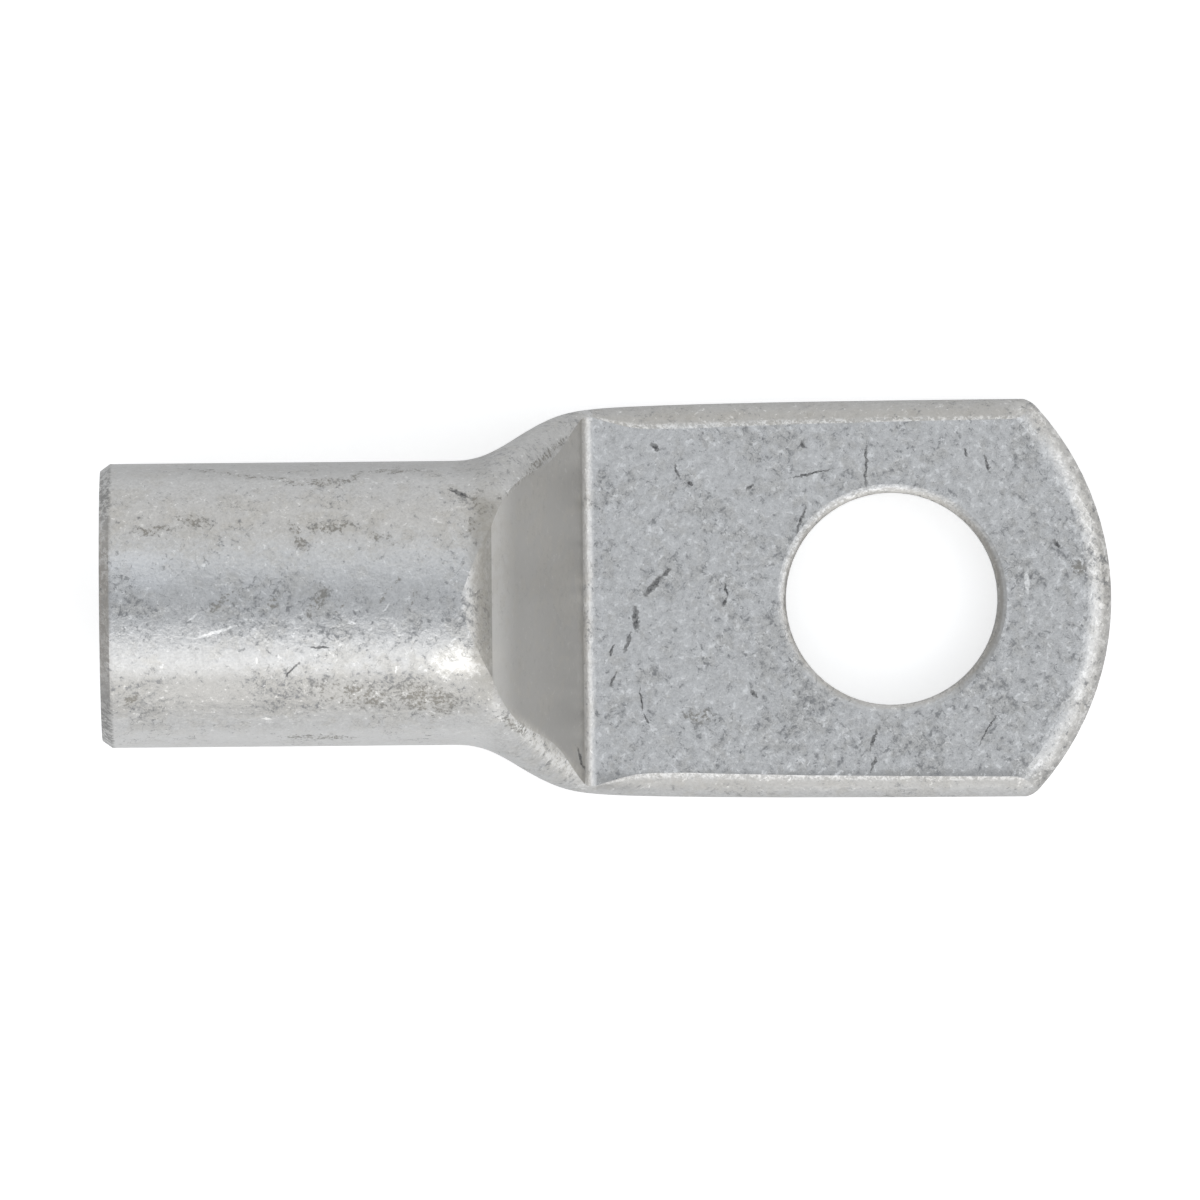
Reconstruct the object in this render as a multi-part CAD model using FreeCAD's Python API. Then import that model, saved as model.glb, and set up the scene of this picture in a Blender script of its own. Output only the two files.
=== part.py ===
import FreeCAD, Part
import math
import os

# Tubular ring terminal: a copper tube whose one end stays round for the wire,
# while the other is pressed flat into a palm with a hole for the stud.
# Millimetres. The origin is the centre of the stud hole on the palm's underside,
# +X runs to the palm's tip, the wire goes in from -X, and +Z is up.

# Tube and stud hole
tube_od = 11.2            # outside of the round barrel
tube_bore = 8.5           # inside of the barrel, where the wire goes
stud_hole_d = 8.4         # clearance hole for the stud
mouth_to_stud = 31.2      # from the barrel's mouth to the centre of the stud hole
barrel_lift = 0.05        # daylight under the barrel when the palm lies flat

# Palm
press_squeeze = 0.1       # how much the press takes off the two walls laid together
palm_w = 15.76            # widest part of the palm
palm_root_draw = 0.25     # how much narrower each side of the palm starts at its root
palm_draw_run = 5.0       # length over which that narrowing fades out
palm_reach = 8.68         # from the stud hole's centre to the tip
tip_r = 11.28             # arc that the tip is cut to
side_proud_root = 0.03    # how far the rounded sides would stand proud of the flat, at the root
side_proud_tip = 0.18     # the same at the tip

# Pressed face between the barrel and the palm
foot_to_stud = 12.09      # from the foot of the slanted face to the stud hole
face_angle = 64.6         # slant of the pressed face, degrees from the palm
foot_r = 0.57             # inside corner where the face runs into the palm
shoulder_drop = 0.85      # from the top of the barrel down to the edge of the slanted face
shoulder_turn = 58.0      # how far the shoulder has turned when it meets that edge, degrees
shoulder_bite = 0.02      # how much the shoulder's arc bites into the barrel where it starts
spread_run = 3.05         # length in which the sides do most of their spreading
spread_power = 2.4        # how suddenly the spreading sets in
shrink_delay = 1.2        # how much later than the spreading the round of the sides shrinks
shrink_run = 2.7          # length in which it does most of its shrinking
shrink_power = 2.0        # how suddenly the shrinking sets in

# Edges
mouth_break_len = 0.38    # broken outer edge of the barrel's mouth, along the barrel
mouth_break_depth = 0.28  # the same, into the wall
mouth_bevel = 0.25        # inner edge of the mouth, to let the strands in
tip_corner_r = 1.0        # rounding of the tip's two corners, seen from above
tip_corner_start = 12.0   # angle at which that rounding leaves the side, degrees
tip_roll = 1.1            # width of the rolled-over top edge along the tip
tip_roll_r = 1.4          # radius of that roll
hole_roll = 0.35          # width of the rolled-over top edge of the stud hole
hole_roll_r = 0.45        # radius of that roll
lower_break = 0.12        # small break on the lower edge of the stud hole
seam_w = 0.14             # fine joint between the two walls, where a cut shows it
seam_depth = 0.12

# Derived sizes
wall = (tube_od - tube_bore) / 2
barrel_r = tube_od / 2
bore_r = tube_bore / 2
stud_r = stud_hole_d / 2
palm_t = 2 * wall - press_squeeze
axis_z = barrel_lift + barrel_r
crown_z = barrel_lift + tube_od
slant = math.radians(face_angle)
turn = math.radians(shoulder_turn)
foot_x = -foot_to_stud
edge_z = crown_z - shoulder_drop
edge_x = foot_x - (edge_z - palm_t) / math.tan(slant)
shoulder_r = (shoulder_drop + shoulder_bite) / (1 - math.cos(turn))
spread_x = edge_x - shoulder_r * math.sin(turn)
mouth_x = -mouth_to_stud
tip_centre_x = palm_reach - tip_r
beyond = tube_od          # how far the cutting tools stand clear of the metal

CAP = math.radians(3)     # half of the narrow strip along the top and the bottom of a section


def palm_half_width(x):
    """Half the width that the palm would have at x, were it pressed flat there too."""
    return palm_w / 2 - palm_root_draw * math.exp((foot_x - x) / palm_draw_run)


def palm_side_radius(x):
    """Radius of the palm's rounded side at x."""
    along = (x - foot_x) / (palm_reach - foot_x)
    return palm_t / 2 + side_proud_root + (side_proud_tip - side_proud_root) * along


def half_height(half_w, side_r):
    """Half the height of a section made of two tight arcs and two wide ones."""
    strip = math.tan(CAP / 2)
    return side_r * (math.cos(CAP) - strip * (1 - math.sin(CAP))) + strip * half_w


def round_edge(start, corner, end, angle):
    """A true circular arc from start to end, its end tangents meeting at corner."""
    arc = Part.BezierCurve()
    arc.setPoles([start, corner, end])
    arc.setWeight(2, math.cos(angle / 2))
    return arc.toShape()


def section(x, inset):
    """The squashed tube at x: tight arcs at the sides, wide ones above and below.
    At the barrel all of them are the same circle."""
    round_left = math.exp(-((x - spread_x) / spread_run) ** spread_power)
    shrunk_for = max(0, x - spread_x - shrink_delay)
    height_left = math.exp(-(shrunk_for / shrink_run) ** shrink_power)
    palm_half_w = palm_half_width(x)
    palm_r = palm_side_radius(x)
    w = palm_half_w - (palm_half_w - barrel_r) * round_left
    r = palm_r + (barrel_r - palm_r) * height_left
    overhang = half_height(palm_half_w, palm_r) - palm_t / 2
    middle = half_height(w, r) + barrel_lift * round_left - overhang * (1 - round_left)
    w, r = w - inset, r - inset
    sin_cap, cos_cap = math.sin(CAP), math.cos(CAP)
    join_y, join_z = w - r * (1 - sin_cap), r * cos_cap
    top_z = join_z + join_y * math.tan(CAP)
    corner_z = r * math.tan((math.pi / 2 - CAP) / 2)

    def at(y, z):
        return FreeCAD.Vector(x, y, middle + z)

    side = math.pi / 2 - CAP
    return Part.Wire([
        round_edge(at(-join_y, join_z), at(0, top_z), at(join_y, join_z), 2 * CAP),
        round_edge(at(join_y, join_z), at(w, corner_z), at(w, 0), side),
        round_edge(at(w, 0), at(w, -corner_z), at(join_y, -join_z), side),
        round_edge(at(join_y, -join_z), at(0, -top_z), at(-join_y, -join_z), 2 * CAP),
        round_edge(at(-join_y, -join_z), at(-w, -corner_z), at(-w, 0), side),
        round_edge(at(-w, 0), at(-w, corner_z), at(-join_y, join_z), side),
    ])


def tube_skin(inset, start_x, end_x, count):
    """Round tube from start_x, running into the squashed length that ends at end_x.
    Its sections lie closer together where the squashing starts."""
    run = end_x - spread_x
    places = [spread_x + run * (i / count) ** 1.6 for i in range(count + 1)]
    squashed = Part.makeLoft([section(x, inset) for x in places], True, False)
    along = FreeCAD.Vector(1, 0, 0)
    start = FreeCAD.Vector(start_x, 0, axis_z)
    round_part = Part.makeCylinder(barrel_r - inset, spread_x - start_x, start, along)
    return round_part.fuse(squashed)


def outline(points):
    """Face with a closed outline in the XZ plane. Each entry is a point and, where the
    outline bends on its way to that point, a second point that the bend passes through."""
    edges = []
    last = points[0][0]
    for point, through in points[1:] + points[:1]:
        start = FreeCAD.Vector(last[0], 0, last[1])
        end = FreeCAD.Vector(point[0], 0, point[1])
        if through:
            middle = FreeCAD.Vector(through[0], 0, through[1])
            edges.append(Part.Arc(start, middle, end).toShape())
        else:
            edges.append(Part.makeLine(start, end))
        last = point
    return Part.Face(Part.Wire(edges))


def on_circle(centre, radius, angle):
    """Point at an angle turned from straight up towards +X."""
    return (centre[0] + radius * math.sin(angle), centre[1] + radius * math.cos(angle))


def upper_press(depth):
    """What the press takes away from above, a given depth further into the metal."""
    shoulder = (spread_x, edge_z - shoulder_r * math.cos(turn))
    flat_z = palm_t - depth
    corner_x = foot_x - depth * math.tan(slant / 2)
    foot = (corner_x + foot_r * math.tan(slant / 2), flat_z + foot_r)
    high_z = crown_z + beyond
    far_x = palm_reach + beyond
    r = shoulder_r - depth
    start = on_circle(shoulder, r, 0)
    face = outline([
        (start, None),
        (on_circle(shoulder, r, turn), on_circle(shoulder, r, turn / 2)),
        (on_circle(foot, foot_r, math.pi + slant), None),
        ((foot[0], flat_z), on_circle(foot, foot_r, math.pi + slant / 2)),
        ((far_x, flat_z), None),
        ((far_x, high_z), None),
        ((start[0], high_z), None),
    ])
    face.translate(FreeCAD.Vector(0, -beyond, 0))
    return face.extrude(FreeCAD.Vector(0, 2 * beyond, 0))


def lower_press(depth):
    """What the flat bed under the press takes away."""
    length = mouth_to_stud + palm_reach + 2 * beyond
    corner = FreeCAD.Vector(mouth_x - beyond, -beyond, depth - beyond)
    return Part.makeBox(length, 2 * beyond, beyond, corner)


def turned_upright(points, centre_x, angle=360.0):
    """Solid turned about the upright line at centre_x, evenly to both sides of +X."""
    origin = FreeCAD.Vector(0, 0, 0)
    up = FreeCAD.Vector(0, 0, 1)
    face = outline(points)
    face.rotate(origin, up, -angle / 2)
    solid = face.revolve(origin, up, angle)
    solid.translate(FreeCAD.Vector(centre_x, 0, 0))
    return solid


def turned_lengthways(points):
    """Solid turned about the barrel's own line, from an outline of x and radius."""
    solid = outline(points).revolve(FreeCAD.Vector(0, 0, 0), FreeCAD.Vector(1, 0, 0), 360)
    solid.translate(FreeCAD.Vector(0, 0, axis_z))
    return solid


def pressed_tube():
    """Outside of the tube pressed, less its hollow pressed in the same way."""
    outer = tube_skin(0, mouth_x, palm_reach + 1, 20)
    outer = outer.cut([upper_press(0), lower_press(0)])
    shut_z = wall + wall / math.cos(slant)
    shut_x = foot_x - (shut_z - palm_t) / math.tan(slant)
    hollow = tube_skin(wall, mouth_x - 1, shut_x + foot_r, 8)
    hollow = hollow.cut([upper_press(wall), lower_press(wall)])
    return outer.cut(hollow)


def outside_tip():
    """What lies beyond the arc of the tip and its two rounded corners."""
    leave = math.pi / 2 - math.radians(tip_corner_start)
    side_y = palm_w / 2
    corner_y = side_y - tip_corner_r * math.sin(leave)
    meet = math.asin(corner_y / (tip_r - tip_corner_r))
    corner_x = tip_centre_x + (tip_r - tip_corner_r) * math.cos(meet)

    def on_corner(angle):
        return (corner_x + tip_corner_r * math.cos(angle), corner_y + tip_corner_r * math.sin(angle))

    def mirrored(point):
        return (point[0], -point[1])

    side = on_corner(leave)
    bend = on_corner((leave + meet) / 2)
    onto_arc = on_corner(meet)
    wide = side_y + beyond
    far_x = palm_reach + beyond
    face = outline([
        (side, None),
        (onto_arc, bend),
        (mirrored(onto_arc), (palm_reach, 0)),
        (mirrored(side), mirrored(bend)),
        ((side[0], -wide), None),
        ((far_x, -wide), None),
        ((far_x, wide), None),
        ((side[0], wide), None),
    ])
    face.rotate(FreeCAD.Vector(0, 0, 0), FreeCAD.Vector(1, 0, 0), -90)
    face.translate(FreeCAD.Vector(0, 0, -1))
    return face.extrude(FreeCAD.Vector(0, 0, palm_t + 2))


def rolled_edge(edge, inwards, radius, width):
    """Outline of what is missing where the top edge at radius edge has rolled over.
    The metal lies inside that radius for inwards = -1 and outside it for inwards = 1."""
    end = math.asin(width / radius)

    def at(distance, below_top):
        return (edge + inwards * distance, palm_t - below_top)

    def on_roll(angle):
        return at(width - radius * math.sin(angle), radius * (1 - math.cos(angle)))

    return [
        (at(width, 0), None),
        (on_roll(end), on_roll(end / 2)),
        (at(-1, radius * (1 - math.cos(end))), None),
        (at(-1, -1), None),
        (at(width, -1), None),
    ]


def seam(edge, inwards):
    """Outline of the fine joint between the two walls, in the cut edge at radius edge."""
    middle = palm_t / 2
    outside = edge - inwards * seam_depth
    return [
        ((edge + inwards * seam_depth, middle), None),
        ((outside, middle + seam_w), None),
        ((outside, middle - seam_w), None),
    ]


def mouth_break():
    """Outline of what is missing from the outer edge of the mouth."""
    slope = mouth_break_depth / mouth_break_len
    return [
        ((mouth_x - 1, barrel_r - mouth_break_depth - slope), None),
        ((mouth_x - 1, barrel_r + 1), None),
        ((mouth_x + mouth_break_len + 1 / slope, barrel_r + 1), None),
    ]


def mouth_lead_in():
    """Outline of the bevel on the inner edge of the mouth."""
    return [
        ((mouth_x + mouth_bevel, bore_r), None),
        ((mouth_x - mouth_bevel, bore_r + 2 * mouth_bevel), None),
        ((mouth_x - mouth_bevel, bore_r), None),
    ]


def stud_hole():
    """Outline of the straight hole with its lower edge broken."""
    return [
        ((0, palm_t + 1), None),
        ((0, -1), None),
        ((stud_r + lower_break + 1, -1), None),
        ((stud_r, lower_break), None),
        ((stud_r, palm_t + 1), None),
    ]


seam_turn = 2 * math.degrees(math.asin((palm_w / 2 - wall) / tip_r))

lug = pressed_tube().cut(outside_tip())
lug = lug.cut(turned_upright(rolled_edge(tip_r, -1, tip_roll_r, tip_roll), tip_centre_x, 150))
lug = lug.cut(turned_upright(seam(tip_r, -1), tip_centre_x, seam_turn))
lug = lug.cut(turned_upright(stud_hole(), 0))
lug = lug.cut(turned_upright(rolled_edge(stud_r, 1, hole_roll_r, hole_roll), 0))
lug = lug.cut(turned_upright(seam(stud_r, 1), 0))
lug = lug.cut(turned_lengthways(mouth_break()))
lug = lug.cut(turned_lengthways(mouth_lead_in()))

os.makedirs("parts", exist_ok=True)
lug.exportStep("parts/terminal_lug.step")
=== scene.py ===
import bpy
import math
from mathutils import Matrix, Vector

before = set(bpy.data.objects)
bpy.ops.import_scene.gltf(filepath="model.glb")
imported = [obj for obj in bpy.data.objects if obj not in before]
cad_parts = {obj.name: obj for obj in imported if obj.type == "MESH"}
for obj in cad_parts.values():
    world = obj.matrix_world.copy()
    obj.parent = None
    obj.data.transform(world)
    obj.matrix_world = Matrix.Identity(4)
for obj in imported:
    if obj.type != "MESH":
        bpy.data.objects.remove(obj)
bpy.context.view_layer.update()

MM = 0.001

# Sizes of the lug that the finish follows, in millimetres
PALM_TOP = 2.6
PALM_START = -11.73             # where the palm's flat begins
FACE_TOP = -15.79               # upper edge of the slanted face
BARREL_AXIS = 5.65
BORE_R = 4.25
MOUTH_BREAK = -30.82            # where the broken edge of the mouth begins
STUD_R = 4.2
HOLE_EDGE_R = 4.8               # the stud hole's rolled edge lies inside this radius
SIDE_EDGE_Y = 6.4               # the palm's side edges lie further than this from its middle line
NOSE_X, NOSE_R = -2.60, 11.28   # middle and radius of the palm's round nose

# Soft borders of the finish, in millimetres: where a patch starts, and where it is full
BORE_END = (-13.0, -13.4)
PALM_EDGE_Z = (2.47, 2.56)
NOSE_START = (4.0, 6.0)
NECK_LEFT, NECK_RIGHT, NECK_SIDE = (-17.6, -16.6), (-12.0, -12.6), (4.0, 5.2)
SHOULDER_LEFT, SHOULDER_LOW, SHOULDER_HIGH = (-16.35, -15.65), (-4.2, -2.2), (4.7, 3.6)
BARREL_SIDES = (4.2, 4.8)
# Painted shade along the barrel's back edge; painted light along its front edge, ending near the neck
BARREL_BACK_SHADE, BARREL_FRONT_LIGHT, FRONT_LIGHT_END = (4.7, 5.3), (-4.6, -5.2), (-15.5, -16.5)
# Where the painted reflection near the barrel's left end begins
LEFT_REFLECTION_END = (-27.8, -29.0)

# Stripes along the lug, in millimetres: middle line, full within, gone beyond
CROWN_STRIPE = (-0.5, 0.5, 1.7)
# The lower stripe is painted shade along the barrel, and also carries more flecks
LOWER_SHADE_AND_FLECK_STRIPE = (-3.5, 0.4, 1.15)
# The left stripe is a painted reflection near the barrel's left end
LEFT_REFLECTION_STRIPE = (1.4, 0.5, 1.1)
SIDE_STRIPE = (-7.10, 0.15, 0.48)

# How bright the floor glows, seen by the camera and mirrored in the lug
GLOW_SEEN, GLOW_MIRRORED = 0.55, 0.12
FLOOR_SIZE = 1.2
FLOOR_GAP = 0.02                # floor below the palm's underside, so that the two don't coincide

# The photograph: taken from straight above, 25.29 pixels to a millimetre at the palm's top
FRAME_WIDTH = 1200 / 25.29 * MM
CAMERA_HEIGHT = 1.0
CAMERA_PLACE = (-11.55 * MM, 0.06 * MM, PALM_TOP * MM + CAMERA_HEIGHT)
CAMERA_ROLL = math.radians(-0.53)

# What the lamps are turned towards, in metres
LUG_MIDDLE = (-0.0115, 0, 0.003)


class Nodes:
    """A node tree, with short calls for the nodes used here."""

    def __init__(self, tree):
        self.tree = tree
        self.tree.nodes.clear()

    def add(self, kind, settings=None, **inputs):
        made = self.tree.nodes.new(kind)
        for name, value in (settings or {}).items():
            setattr(made, name, value)
        for name, value in inputs.items():
            self.put(made, name.replace("_", " "), value)
        return made

    def put(self, made, socket, value):
        socket = made.inputs[socket]
        if isinstance(value, bpy.types.NodeSocket):
            self.tree.links.new(value, socket)
        else:
            socket.default_value = value

    def math(self, operation, a, b=0.0):
        made = self.add("ShaderNodeMath", {"operation": operation})
        self.put(made, 0, a)
        self.put(made, 1, b)
        return made.outputs[0]

    def times(self, a, b):
        return self.math("MULTIPLY", a, b)

    def plus(self, a, b):
        return self.math("ADD", a, b)

    def less(self, a, b):
        return self.math("SUBTRACT", a, b)

    def either(self, a, b):
        return self.math("MAXIMUM", a, b)

    def vector(self, operation, a, b=(0, 0, 0)):
        made = self.add("ShaderNodeVectorMath", {"operation": operation})
        self.put(made, 0, a)
        if operation == "SCALE":
            self.put(made, "Scale", b)
        else:
            self.put(made, 1, b)
        return made.outputs["Value" if operation == "LENGTH" else 0]

    def noise(self, where, scale, detail=2.0, rough=0.6, distortion=0.0):
        made = self.add("ShaderNodeTexNoise", Vector=where, Scale=scale, Detail=detail,
                        Roughness=rough, Distortion=distortion)
        return made.outputs["Fac"]

    def wander(self, where, scale, amount):
        """The same place, pushed about a little, so that straight borders turn ragged."""
        made = self.add("ShaderNodeTexNoise", Vector=where, Scale=scale, Detail=2.0)
        off = self.vector("SUBTRACT", made.outputs["Color"], (0.5, 0.5, 0.5))
        return self.vector("ADD", where, self.vector("SCALE", off, amount))

    def stretched(self, where, angle, length):
        """The place turned about the upright, and drawn out along that direction."""
        made = self.add("ShaderNodeMapping", {"vector_type": "TEXTURE"}, Vector=where,
                        Rotation=(0, 0, math.radians(angle)), Scale=(length, 1, 1))
        return made.outputs[0]

    def steps(self, value, low, high, out_low=0.0, out_high=1.0):
        made = self.add("ShaderNodeMapRange", {"interpolation_type": "SMOOTHSTEP"}, Value=value,
                        From_Min=low, From_Max=high, To_Min=out_low, To_Max=out_high)
        return made.outputs["Result"]

    def near(self, value, middle, within, beyond):
        """1 close to a middle line, going down to 0 on both sides of it."""
        return self.steps(self.math("ABSOLUTE", self.less(value, middle)), beyond, within)

    def length(self, a, b):
        return self.vector("LENGTH", self.add("ShaderNodeCombineXYZ", X=a, Y=b).outputs[0])

    def mix(self, share, a, b):
        made = self.add("ShaderNodeMix", {"data_type": "RGBA"})
        self.put(made, 0, share)
        self.put(made, 6, a)
        self.put(made, 7, b)
        return made.outputs[2]

    def tint(self, base, place, share, colour):
        """A colour with another one laid over a place, by a share."""
        return self.mix(self.times(place, share), base, colour)

    def parts(self, vector):
        return self.add("ShaderNodeSeparateXYZ", Vector=vector).outputs


def grey(value, warmth=0.0):
    """A grey with a little yellow in it, or a little blue for a warmth below nought."""
    return (value * (1 + 0.5 * warmth), value, value * (1 - warmth), 1)


# Marks seen from above: x and y of the middle in millimetres, half length, half width, angle.
# Gouges and short scratches that show dark, on the palm and then on the barrel
GOUGES = (
    (-9.43, 0.61, 0.53, 0.119, 50),
    (-8.91, 1.12, 0.23, 0.079, 37),
    (-10.15, -0.72, 0.49, 0.138, 92),
    (-10.46, -1.57, 0.46, 0.079, 69),
    (-11.11, -1.96, 0.26, 0.059, 67),
    (-11.07, -3.11, 0.34, 0.059, 69),
    (-9.95, -3.91, 0.48, 0.045, 97),
    (-9.77, -4.66, 0.30, 0.045, 113),
    (-6.56, 0.41, 0.24, 0.059, 99),
    (-6.61, -0.03, 0.21, 0.059, 68),
    (-8.46, 5.15, 0.32, 0.051, 111),
    (-7.93, 4.63, 0.17, 0.059, 144),
    (-5.58, 4.47, 0.22, 0.059, 44),
    (-3.57, 3.15, 0.59, 0.067, 70),
    (-3.47, 6.13, 0.18, 0.079, 130),
    (-3.16, 4.98, 0.97, 0.043, 12),
    (-0.79, -5.56, 0.44, 0.059, 71),
    (-0.80, -6.51, 0.36, 0.059, 67),
    (3.75, -5.16, 0.71, 0.040, 59),
    (3.00, 5.76, 0.19, 0.059, 108),
    (3.80, 5.32, 0.36, 0.059, 109),
    (6.54, 2.13, 0.24, 0.099, 131),
    (-9.30, 6.07, 0.23, 0.099, 142),
    (-0.98, 5.34, 0.79, 0.060, 89),
    (-5.48, -3.71, 0.24, 0.079, 138),
    (-12.37, -6.20, 0.50, 0.042, 106),
    (-17.03, 4.30, 0.45, 0.080, 156),
    (-22.55, -1.70, 0.39, 0.050, 177),
    (-23.66, -2.59, 0.46, 0.045, 46),
)

# Fields thick with dark flecks
FLECKED = (
    (-29.03, 2.95, 0.80, 0.18, 7),
    (-27.55, 3.31, 0.65, 0.22, 171),
    (-26.29, 0.12, 0.70, 0.26, 33),
    (-24.39, 0.06, 0.35, 0.20, 47),
    (-22.61, 0.10, 0.65, 0.22, 52),
    (-23.36, 2.68, 0.75, 0.20, 116),
    (-22.00, 3.00, 0.85, 0.22, 7),
    (-20.02, 2.57, 0.66, 0.20, 159),
    (-16.27, 3.88, 0.38, 0.22, 123),
    (-16.66, 3.01, 0.38, 0.22, 44),
    (-21.24, -3.56, 1.50, 0.42, 171),
    (-18.36, -3.78, 1.15, 0.55, 167),
    (-30.00, -3.68, 0.35, 0.16, 26),
    (-14.02, 5.38, 1.55, 0.14, 43),
    (-26.56, 5.20, 0.80, 0.10, 172),
    (-25.10, 5.03, 0.80, 0.12, 175),
    (-23.97, 4.88, 0.60, 0.10, 167),
    (-22.50, 4.79, 1.15, 0.13, 2),
    (-21.10, 5.02, 0.40, 0.10, 30),
    (-19.60, 5.21, 1.30, 0.09, 1),
    (-22.68, -5.23, 1.40, 0.09, 179),
    (-19.76, 0.57, 0.77, 0.10, 50),
    (-21.65, -0.05, 0.40, 0.18, 35),
    (-18.90, 0.20, 0.30, 0.16, 60),
    (-14.83, -4.90, 0.77, 0.20, 152),
    (-7.70, -4.56, 0.55, 0.26, 179),
    (7.40, 1.17, 0.28, 0.22, 175),
)

# Bright scratches
SCRATCHED = (
    (-26.73, -1.09, 0.82, 0.067, 16),
    (-27.53, -0.48, 0.28, 0.047, 39),
    (-24.68, -4.48, 0.20, 0.051, 174),
    (-21.30, -0.74, 0.18, 0.045, 5),
    (-19.94, -0.15, 0.20, 0.040, 60),
    (-25.04, -2.20, 0.12, 0.045, 100),
    (-19.57, -2.60, 0.15, 0.040, 95),
    (5.34, 0.58, 0.51, 0.090, 89),
)

# Painted highlights, with soft borders: a cream-white patch on the barrel by the shoulder, and a bright
# ridge along the neck's lower side
PAINTED_HIGHLIGHTS = (
    (-17.00, -2.25, 1.25, 0.62, 8),
    (-13.80, -5.75, 2.10, 0.36, 137),
)


def nearest_mark(n, where, marks):
    """How far a place is from the nearest mark, 1 being on its border."""
    nearest = None
    for x, y, length, width, angle in marks:
        inside = n.add("ShaderNodeMapping", {"vector_type": "TEXTURE"}, Vector=where,
                       Location=(x, y, 0), Rotation=(0, 0, math.radians(angle)),
                       Scale=(length, width, 1000))
        reach = n.vector("LENGTH", inside.outputs[0])
        nearest = reach if nearest is None else n.math("MINIMUM", nearest, reach)
    return nearest


class Reach:
    """How far a place is from the nearest gouge, flecked field, scratch and painted highlight."""

    def __init__(self, n, ragged):
        self.gouge = nearest_mark(n, n.wander(ragged, 11.0, 0.09), GOUGES)
        self.field = nearest_mark(n, ragged, FLECKED)
        self.scratch = nearest_mark(n, ragged, SCRATCHED)
        self.painted_highlight = nearest_mark(n, ragged, PAINTED_HIGHLIGHTS)


class Places:
    """Where each kind of surface is, 1 on it and 0 off it, and a few measures of the place itself."""

    def __init__(self, n, mm):
        self.x, self.y, z = n.parts(mm)
        face_x, _, self.face_z = n.parts(n.add("ShaderNodeNewGeometry").outputs["True Normal"])
        x, y, face_z = self.x, self.y, self.face_z

        self.upwards = n.steps(face_z, -0.1, 0.1)
        self.on_palm = n.steps(x, PALM_START - 0.06, PALM_START)
        self.flat = n.times(n.steps(face_z, 0.985, 0.998), self.on_palm)
        steep = n.steps(face_x, 0.80, 0.87)
        self.slanted = n.times(steep, n.steps(z, PALM_TOP + 0.1, PALM_TOP + 0.3))
        self.unslanted = n.less(1.0, self.slanted)
        self.barrel = n.steps(x, FACE_TOP + 0.1, FACE_TOP - 0.1)

        from_axis = n.length(y, n.less(z, BARREL_AXIS))
        bore = n.times(n.steps(from_axis, BORE_R + 0.3, BORE_R + 0.1), n.steps(x, *BORE_END))
        self.bore = n.times(bore, self.unslanted)
        from_stud = n.length(x, y)
        self.from_nose = n.length(n.less(x, NOSE_X), y)
        nose = n.times(n.steps(self.from_nose, NOSE_R - 1.6, NOSE_R - 0.5), n.steps(face_z, 0.2, 0.6))
        self.nose = n.times(nose, n.steps(x, *NOSE_START))
        hole = n.steps(from_stud, STUD_R + 0.14, STUD_R + 0.08)
        self.hole_wall = n.times(hole, n.steps(face_z, 0.7, 0.5))

        edge = n.times(n.times(n.steps(z, *PALM_EDGE_Z), n.less(1.0, self.flat)), self.on_palm)
        side_stripe = n.times(n.near(y, *SIDE_STRIPE), self.upwards)
        self.side_stripe = n.times(side_stripe, self.on_palm)
        self.hole_edge = n.times(edge, n.steps(from_stud, HOLE_EDGE_R + 0.1, HOLE_EDGE_R))
        self.side_edge = n.times(edge, n.steps(n.math("ABSOLUTE", y), SIDE_EDGE_Y, SIDE_EDGE_Y + 0.1))
        self.upper_left = n.less(n.times(y, 0.18), n.times(x, 0.13))


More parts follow.
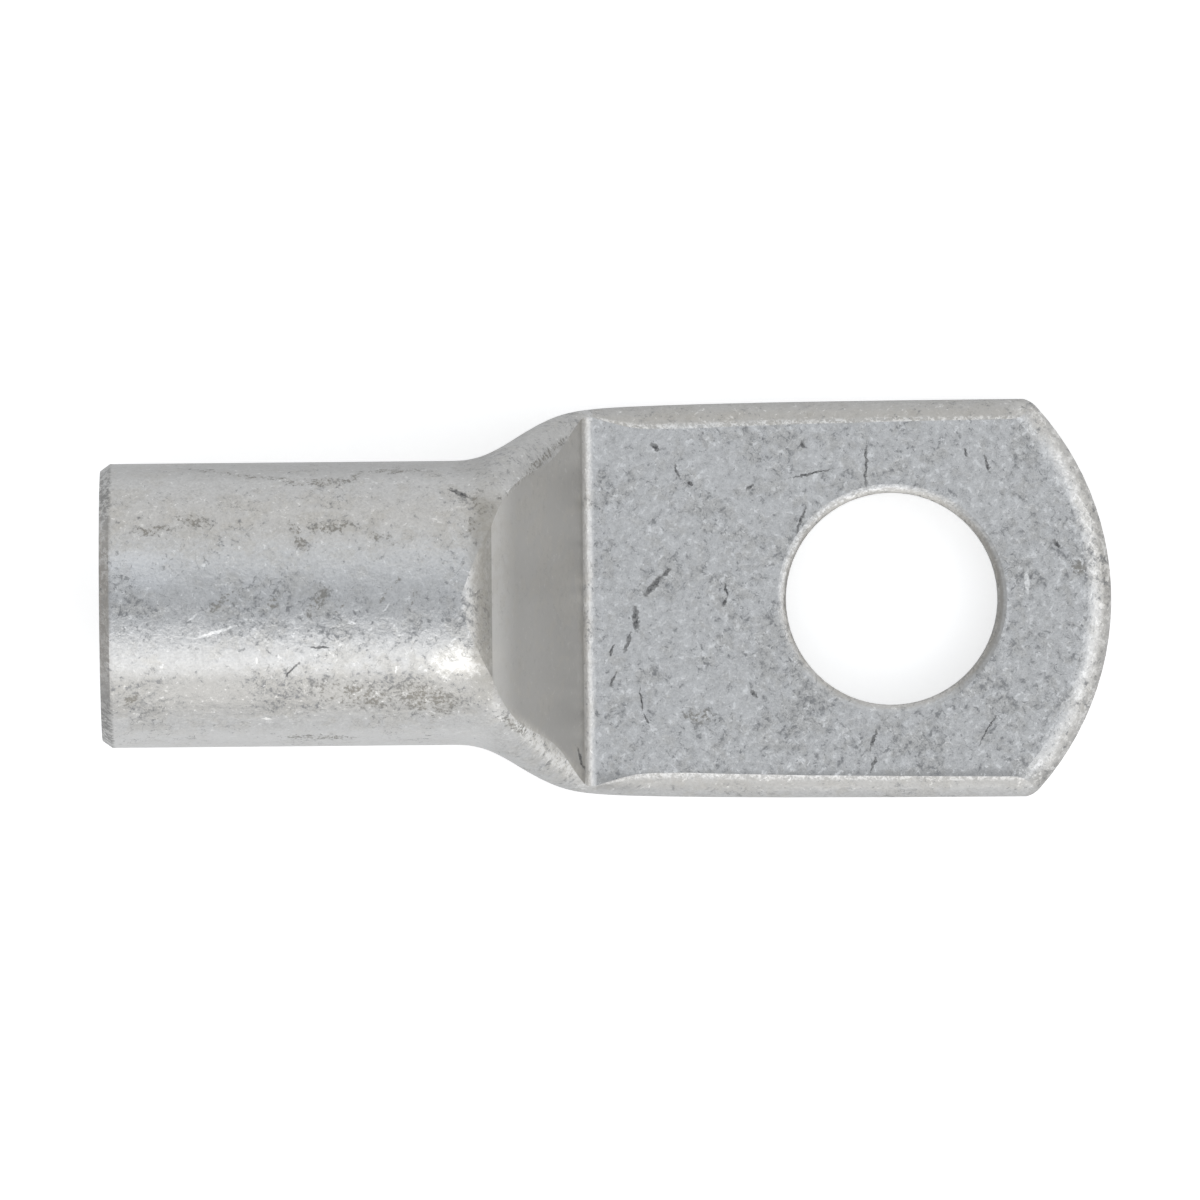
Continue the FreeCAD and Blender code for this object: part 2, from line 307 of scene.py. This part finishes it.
class Wear:
    """Patterns of the plating: grain, dark flecks that gather in places, painted glints and single marks.
    """

    def __init__(self, n, mm, ragged, reach, at):
        ragged_x, ragged_y, _ = n.parts(ragged)
        self.grain = n.noise(mm, 8.0, 3.0, 0.7)
        self.tone = n.noise(mm, 1.5, 3.0, 0.6)
        self.gathered = n.noise(mm, 0.42, 3.0, 0.6)
        self.speck = n.noise(n.stretched(ragged, 50, 1.5), 3.4, 3.0, 0.75)
        self.streak = n.noise(n.stretched(ragged, 138, 1.7), 3.9, 3.0, 0.75)
        self.crease = n.noise(mm, 1.15, 3.0, 0.55, 0.6)
        self.fuzz = n.less(self.grain, 0.5)
        self.mouth = n.steps(ragged_x, MOUTH_BREAK + 0.14, MOUTH_BREAK - 0.02)
        neck_side = n.steps(at.y, *NECK_SIDE)
        self.neck = n.times(neck_side, n.times(n.steps(at.x, *NECK_LEFT), n.steps(at.x, *NECK_RIGHT)))
        # Band on the shoulder that is rough, and painted darker as shade
        rough_shaded_shoulder = n.times(n.steps(n.plus(ragged_x, self.tone), *SHOULDER_LEFT), at.unslanted)
        rough_shaded_shoulder = n.times(rough_shaded_shoulder, n.steps(at.x, FACE_TOP + 0.9, FACE_TOP))
        across = n.times(n.steps(ragged_y, *SHOULDER_LOW), n.steps(ragged_y, *SHOULDER_HIGH))
        self.rough_shaded_shoulder = n.times(rough_shaded_shoulder, across)
        self.draw_single_marks(n, reach, at)
        thick = self.thickness(n, at)
        level = self.fleck_level(n, thick, at)
        self.draw_fine_marks(n, level, thick, at)

    def draw_single_marks(self, n, reach, at):
        self.field = n.times(n.steps(reach.field, 0.5, 1.7, 1.0, 0.0), at.upwards)
        gouge = n.plus(reach.gouge, n.times(self.fuzz, 2.0))
        self.gouge = n.times(n.steps(gouge, 0.70, 1.25, 1.0, 0.0), at.upwards)
        self.scratch = n.times(n.steps(reach.scratch, 0.5, 1.3, 1.0, 0.0), at.upwards)
        # Where the painted highlights lie
        self.painted_highlight = n.times(n.steps(reach.painted_highlight, 0.1, 1.6, 1.0, 0.0), at.upwards)
        self.plain = n.less(1.0, n.times(n.times(at.slanted, 0.75), n.less(1.0, self.field)))

    def thickness(self, n, at):
        """How thick the flecks lie: more on the palm and the barrel's stripes, less at its sides."""
        crown = n.times(n.near(at.y, *CROWN_STRIPE), 0.07)
        self.lower = n.near(at.y, *LOWER_SHADE_AND_FLECK_STRIPE)
        clear = n.times(n.steps(n.math("ABSOLUTE", n.less(at.y, 0.2)), *BARREL_SIDES), 0.03)
        stripes = n.less(n.plus(crown, n.times(self.lower, 0.06)), clear)
        thick = n.times(stripes, n.times(at.barrel, n.less(1.0, self.field)))
        return n.plus(thick, n.times(at.flat, n.steps(n.less(at.x, at.y), -10.0, 6.0, 0.04, 0.06)))

    def fleck_level(self, n, thick, at):
        """The pattern whose high places are dark flecks."""
        level = n.plus(n.either(self.speck, self.streak), n.times(n.less(self.gathered, 0.5), 0.30))
        level = n.plus(level, n.times(self.field, n.plus(0.10, n.times(self.fuzz, 0.7))))
        level = n.plus(level, n.times(self.fuzz, 0.30))
        level = n.plus(level, thick)
        worked = n.either(n.either(at.nose, self.neck), self.painted_highlight)
        return n.plus(level, n.times(worked, 0.03))

    def draw_fine_marks(self, n, level, thick, at):
        """Dark flecks, painted glints, cracks along the creases and small curls."""
        speck, streak, plain = self.speck, self.streak, self.plain
        self.flecks = n.times(n.steps(level, 0.59, 0.77), plain)
        # Painted glints: white sparkles laid into the colour, more in the painted highlights, on the nose
        # and on the flat palm, fewer on steep sides
        glints = n.less(0.66, n.plus(n.math("MINIMUM", speck, streak), n.times(self.fuzz, 0.25)))
        shiny = n.plus(n.plus(n.times(self.painted_highlight, 0.17), n.times(at.nose, 0.07)), n.times(at.flat, 0.03))
        glints = n.steps(n.plus(glints, shiny), 0.27, 0.40)
        self.glints = n.times(n.times(glints, n.steps(at.face_z, 0.1, 0.6, 0.35, 1.0)), plain)
        cracks = n.steps(n.math("ABSOLUTE", n.less(self.crease, 0.5)), 0.0, 0.010, 1.0, 0.0)
        self.cracks = n.times(n.times(cracks, n.steps(self.gathered, 0.50, 0.60)), plain)
        curls = n.steps(n.math("ABSOLUTE", n.less(speck, streak)), 0.0, 0.03, 1.0, 0.0)
        self.curls = n.times(n.times(curls, n.steps(n.plus(level, thick), 0.50, 0.62)), plain)


def clean_tin(n, at, wear):
    """The tin: a little warm on the barrel and cooler on the palm, with a painted highlight at the palm's
    root. The slanted face is darker and browner, with painted light and shade on it: light at its upper
    edge, darker towards the palm.
    """
    x = at.x
    base = n.mix(n.steps(wear.grain, 0.30, 0.70), grey(0.50, 0.015), grey(0.65, 0.015))
    base = n.mix(n.steps(wear.tone, 0.35, 0.65, 0.0, 0.35), base, grey(0.67))
    cool = n.mix(n.steps(wear.grain, 0.30, 0.70), grey(0.53, 0.02), grey(0.71, 0.015))
    cool = n.mix(n.steps(wear.tone, 0.35, 0.65, 0.0, 0.4), cool, grey(0.72, 0.01))
    palm_top = n.times(n.steps(x, PALM_START - 0.40, PALM_START), n.steps(at.face_z, 0.90, 0.985))
    base = n.tint(base, n.either(palm_top, at.nose), 0.9, cool)
    # Painted highlight on the palm's root, where it rounds down to the slanted face
    palm_root_highlight = n.times(n.steps(x, PALM_START + 0.7, PALM_START, 0.0, 0.2), palm_top)
    base = n.mix(palm_root_highlight, base, grey(0.74, 0.01))
    # Painted light and shade on the slanted face: light at its upper edge, darker down towards the palm,
    # over its own darker, browner tone
    face = n.mix(n.steps(x, FACE_TOP, FACE_TOP + 1.1), grey(0.72, 0.03), grey(0.475, 0.03))
    face = n.mix(n.steps(x, FACE_TOP + 1.2, FACE_TOP + 3.2), face, grey(0.41, 0.03))
    return n.tint(base, at.slanted, 0.9, face)


def worked_tin(n, base, at, wear):
    """Places turned darker or brighter: a brownish mottle, the stud hole's edge, a stripe on the palm's
    lower side and the tip's edge, and painted shade and light on the palm's upper edges, the nose, the
    neck, the barrel's stripes and edges and the highlight patches.
    """
    x, y = at.x, at.y
    base = n.tint(base, n.steps(n.less(wear.gathered, wear.tone), 0.0, 0.12), 0.16, grey(0.52, 0.12))
    # Painted shade: the palm's sloping edges, outside the nose, turn darker and warmer on the upper side
    # only
    side = n.times(n.times(n.less(1.0, at.flat), at.on_palm), n.steps(at.face_z, 0.99, 0.9))
    side = n.times(n.times(side, n.less(1.0, at.nose)), n.steps(y, -2.0, 2.0, 0.0, 0.45))
    base = n.mix(side, base, grey(0.42, 0.06))
    base = n.tint(base, at.hole_edge, 0.3, grey(0.42, 0.03))
    base = n.tint(base, at.side_stripe, 0.5, grey(0.30, 0.03))
    # Painted highlight on the nose's roll
    base = n.tint(base, at.nose, 0.06, grey(0.95))
    tip_edge = n.times(n.steps(at.from_nose, NOSE_R - 0.40, NOSE_R - 0.12), n.steps(x, *NOSE_START))
    base = n.tint(base, tip_edge, 0.36, grey(0.40, 0.04))
    # Painted shade on the neck's upper side, along its crease
    base = n.tint(base, wear.neck, 0.35, grey(0.42, 0.04))
    # Painted shade: a darker stripe along the barrel's lower side, under its bright band
    base = n.tint(base, n.times(wear.lower, at.barrel), 0.6, grey(0.43, 0.04))
    # Painted shade along the barrel's back edge, and painted light along its front edge, which faces the
    # lit floor
    base = n.mix(n.times(n.steps(y, *BARREL_BACK_SHADE, 0.0, 0.4), at.barrel), base, grey(0.42, 0.02))
    front = n.times(n.steps(y, *BARREL_FRONT_LIGHT, 0.0, 0.5), n.steps(x, *FRONT_LIGHT_END))
    base = n.mix(front, base, grey(0.80, 0.01))
    # Painted reflection: a pale bluish stripe along the barrel near its left end
    left_end_reflection = n.times(n.steps(x, *LEFT_REFLECTION_END), n.near(y, *LEFT_REFLECTION_STRIPE))
    base = n.tint(base, left_end_reflection, 0.15, grey(0.95, -0.05))
    # Painted highlights: cream white over the soft patches by the shoulder and along the neck's lower
    # side
    return n.tint(base, wear.painted_highlight, 0.45, grey(0.92, 0.09))


def marked_tin(n, base, wear):
    """Flecks, curls, cracks, painted glints, scratches, the rough shoulder with painted shade on it, and
    gouges, one over another.
    """
    share = n.times(wear.flecks, 0.86)
    base = n.mix(share, base, n.mix(wear.field, grey(0.24, -0.03), grey(0.25, 0.10)))
    base = n.tint(base, wear.curls, 0.45, grey(0.24, -0.02))
    base = n.tint(base, wear.cracks, 0.6, grey(0.20))
    # Painted glints
    base = n.tint(base, wear.glints, 0.60, grey(0.97, 0.01))
    scratch = n.times(wear.scratch, n.steps(wear.grain, 0.35, 0.60, 0.45, 0.9))
    base = n.mix(scratch, base, grey(0.98, 0.02))
    # Painted shade on the shoulder's rough, brownish band, just left of the slanted face
    rough_shaded_shoulder = n.times(wear.rough_shaded_shoulder, n.steps(wear.speck, 0.35, 0.65, 0.75, 0.45))
    base = n.mix(rough_shaded_shoulder, base, grey(0.34, 0.11))
    gouge = n.times(wear.gouge, n.steps(wear.grain, 0.40, 0.62, 0.60, 1.0))
    return n.mix(gouge, base, grey(0.11, -0.02))


def edged_tin(n, base, at, wear):
    """Painted highlights and shadow on the edges, the brown mouth with painted shade at its sides, the
    stud hole's wall and the bore.
    """
    # Painted highlights along the palm's side edges, stronger on the upper side, and on the stud hole's
    # upper-left rim, broken up by grain
    highlight_breakup = n.steps(n.plus(wear.streak, wear.grain), 0.90, 1.16)
    bright_hole = n.times(at.hole_edge, n.steps(at.upper_left, 0.40, 0.90, 0.0, 0.8))
    bright_side = n.times(at.side_edge, n.steps(at.y, -2.0, 2.0, 0.55, 0.9))
    bright_edge = n.plus(bright_hole, bright_side)
    base = n.mix(n.times(highlight_breakup, n.times(bright_edge, 0.85)), base, grey(0.92, 0.01))
    # Painted shadow on the stud hole's right rim
    base = n.mix(n.times(at.hole_edge, n.steps(at.x, 1.5, 3.8, 0.0, 0.5)), base, grey(0.32, 0.04))
    # Bared copper at the mouth, mottled; towards the barrel's sides it is painted darker as shade
    brown = n.mix(n.steps(n.math("ABSOLUTE", at.y), 2.5, 4.5), (0.425, 0.415, 0.405, 1), grey(0.25, 0.02))
    mottled = n.steps(n.plus(wear.streak, n.times(wear.fuzz, 0.4)), 0.42, 0.58, 1.0, 0.15)
    base = n.mix(n.times(wear.mouth, mottled), base, brown)
    base = n.tint(base, at.hole_wall, 0.8, grey(0.36, 0.05))
    return n.tint(base, at.bore, 0.5, grey(0.40, 0.06))


def tin_plating():
    """Dull tin over copper: flecked, creased and scuffed from tumbling with other lugs, with highlights,
    glints and shade painted into its colour.
    """
    # This material is near the most that Cycles can hold, past which it comes out black
    material = bpy.data.materials.new("dull_tin_plating")
    material.use_nodes = True
    n = Nodes(material.node_tree)
    mm = n.vector("SCALE", n.add("ShaderNodeTexCoord").outputs["Object"], 1000.0)
    ragged = n.wander(mm, 4.0, 0.22)
    reach = Reach(n, ragged)
    at = Places(n, mm)
    wear = Wear(n, mm, ragged, reach, at)

    base = clean_tin(n, at, wear)
    base = worked_tin(n, base, at, wear)
    base = marked_tin(n, base, wear)
    base = edged_tin(n, base, at, wear)

    relief = n.plus(n.times(wear.grain, 0.22), n.times(wear.tone, 0.60))
    bump = n.add("ShaderNodeBump", Height=relief, Distance=0.1 * MM)
    n.put(bump, "Strength", n.less(0.8, n.times(at.slanted, 0.6)))
    gloss = n.plus(0.33, n.times(wear.flecks, 0.12))
    gloss = n.plus(gloss, n.times(n.either(wear.gouge, wear.rough_shaded_shoulder), 0.15))
    shader = n.add("ShaderNodeBsdfPrincipled", Metallic=1.0, Base_Color=base, Roughness=gloss,
                   Normal=bump.outputs[0])
    n.add("ShaderNodeOutputMaterial", Surface=shader.outputs[0])
    return material


def floor_finish():
    """Plain pale floor. Seen straight on it is white, and it keeps the lug's shadow."""
    material = bpy.data.materials.new("pale_floor")
    material.use_nodes = True
    n = Nodes(material.node_tree)
    rays = n.add("ShaderNodeLightPath").outputs
    seen = n.either(rays["Is Camera Ray"], rays["Is Transmission Ray"])
    strength = n.either(n.times(seen, GLOW_SEEN), n.times(rays["Is Glossy Ray"], GLOW_MIRRORED))
    diffuse = n.add("ShaderNodeBsdfDiffuse", Color=(0.8, 0.8, 0.8, 1))
    glow = n.add("ShaderNodeEmission", Color=(1, 1, 1, 1), Strength=strength)
    both = n.add("ShaderNodeAddShader")
    n.put(both, 0, diffuse.outputs[0])
    n.put(both, 1, glow.outputs[0])
    n.add("ShaderNodeOutputMaterial", Surface=both.outputs[0])
    return material


def studio_room():
    """Pale room, dimmer overhead and at its two ends, white where the camera looks past the floor."""
    world = bpy.data.worlds.new("studio_room")
    bpy.context.scene.world = world
    world.use_nodes = True
    n = Nodes(world.node_tree)
    rays = n.add("ShaderNodeLightPath").outputs
    right, _, height = n.parts(n.add("ShaderNodeTexCoord").outputs["Generated"])
    walls, ceiling, far_walls = (0.86, 0.855, 0.84, 1), (0.62, 0.65, 0.69, 1), (0.40, 0.385, 0.36, 1)
    colour = n.mix(n.steps(height, 0.35, 0.98), walls, ceiling)
    ends = n.either(n.steps(right, -0.25, -0.85), n.steps(right, 0.84, 0.98))
    colour = n.tint(colour, ends, 0.6, far_walls)
    room = n.add("ShaderNodeBackground", Color=colour, Strength=1.0)
    white = n.add("ShaderNodeBackground", Color=(1, 1, 1, 1), Strength=1.0)
    both = n.add("ShaderNodeMixShader", Fac=rays["Is Camera Ray"])
    n.put(both, 1, room.outputs[0])
    n.put(both, 2, white.outputs[0])
    n.add("ShaderNodeOutputWorld", Surface=both.outputs[0])


def softbox(name, place, width, height, brightness, tint=(1, 1, 1)):
    """Soft studio lamp at a place, turned towards the lug."""
    lamp = bpy.data.lights.new(name, "AREA")
    lamp.shape = "RECTANGLE"
    lamp.size, lamp.size_y = width, height
    lamp.energy = brightness * math.pi * width * height
    lamp.color = tint
    made = bpy.data.objects.new(name, lamp)
    bpy.context.scene.collection.objects.link(made)
    made.location = place
    towards_lug = Vector(LUG_MIDDLE) - Vector(place)
    made.rotation_euler = towards_lug.to_track_quat("-Z", "Y").to_euler()


def camera():
    lens = bpy.data.cameras.new("camera")
    lens.sensor_width = 36
    lens.lens = lens.sensor_width * CAMERA_HEIGHT / FRAME_WIDTH
    lens.clip_start, lens.clip_end = 0.01, 10
    made = bpy.data.objects.new("camera", lens)
    bpy.context.scene.collection.objects.link(made)
    made.location = CAMERA_PLACE
    made.rotation_euler = (0, 0, CAMERA_ROLL)
    bpy.context.scene.camera = made


def floor():
    bpy.ops.mesh.primitive_plane_add(size=FLOOR_SIZE, location=(0, 0, -FLOOR_GAP * MM))
    made = bpy.context.object
    made.name = "floor"
    made.data.materials.append(floor_finish())


bpy.context.scene.view_settings.view_transform = "Standard"
bpy.ops.object.select_all(action="DESELECT")
studio_room()
camera()
floor()

middle = LUG_MIDDLE[0]
softbox("front_softbox", (middle, -0.333, 0.376), width=0.60, height=0.36, brightness=0.71)
softbox("front_card", (middle, -0.490, 0.100), width=0.70, height=0.16, brightness=0.65)
softbox("right_softbox", (0.342, 0, 0.357), width=0.30, height=0.30, brightness=0.75)
softbox("back_softbox", (middle, 0.294, 0.407), width=0.50, height=0.18, brightness=0.36,
        tint=(0.92, 0.96, 1.0))

plating = tin_plating()
for place in bpy.data.objects["terminal_lug"].material_slots:
    place.material = plating
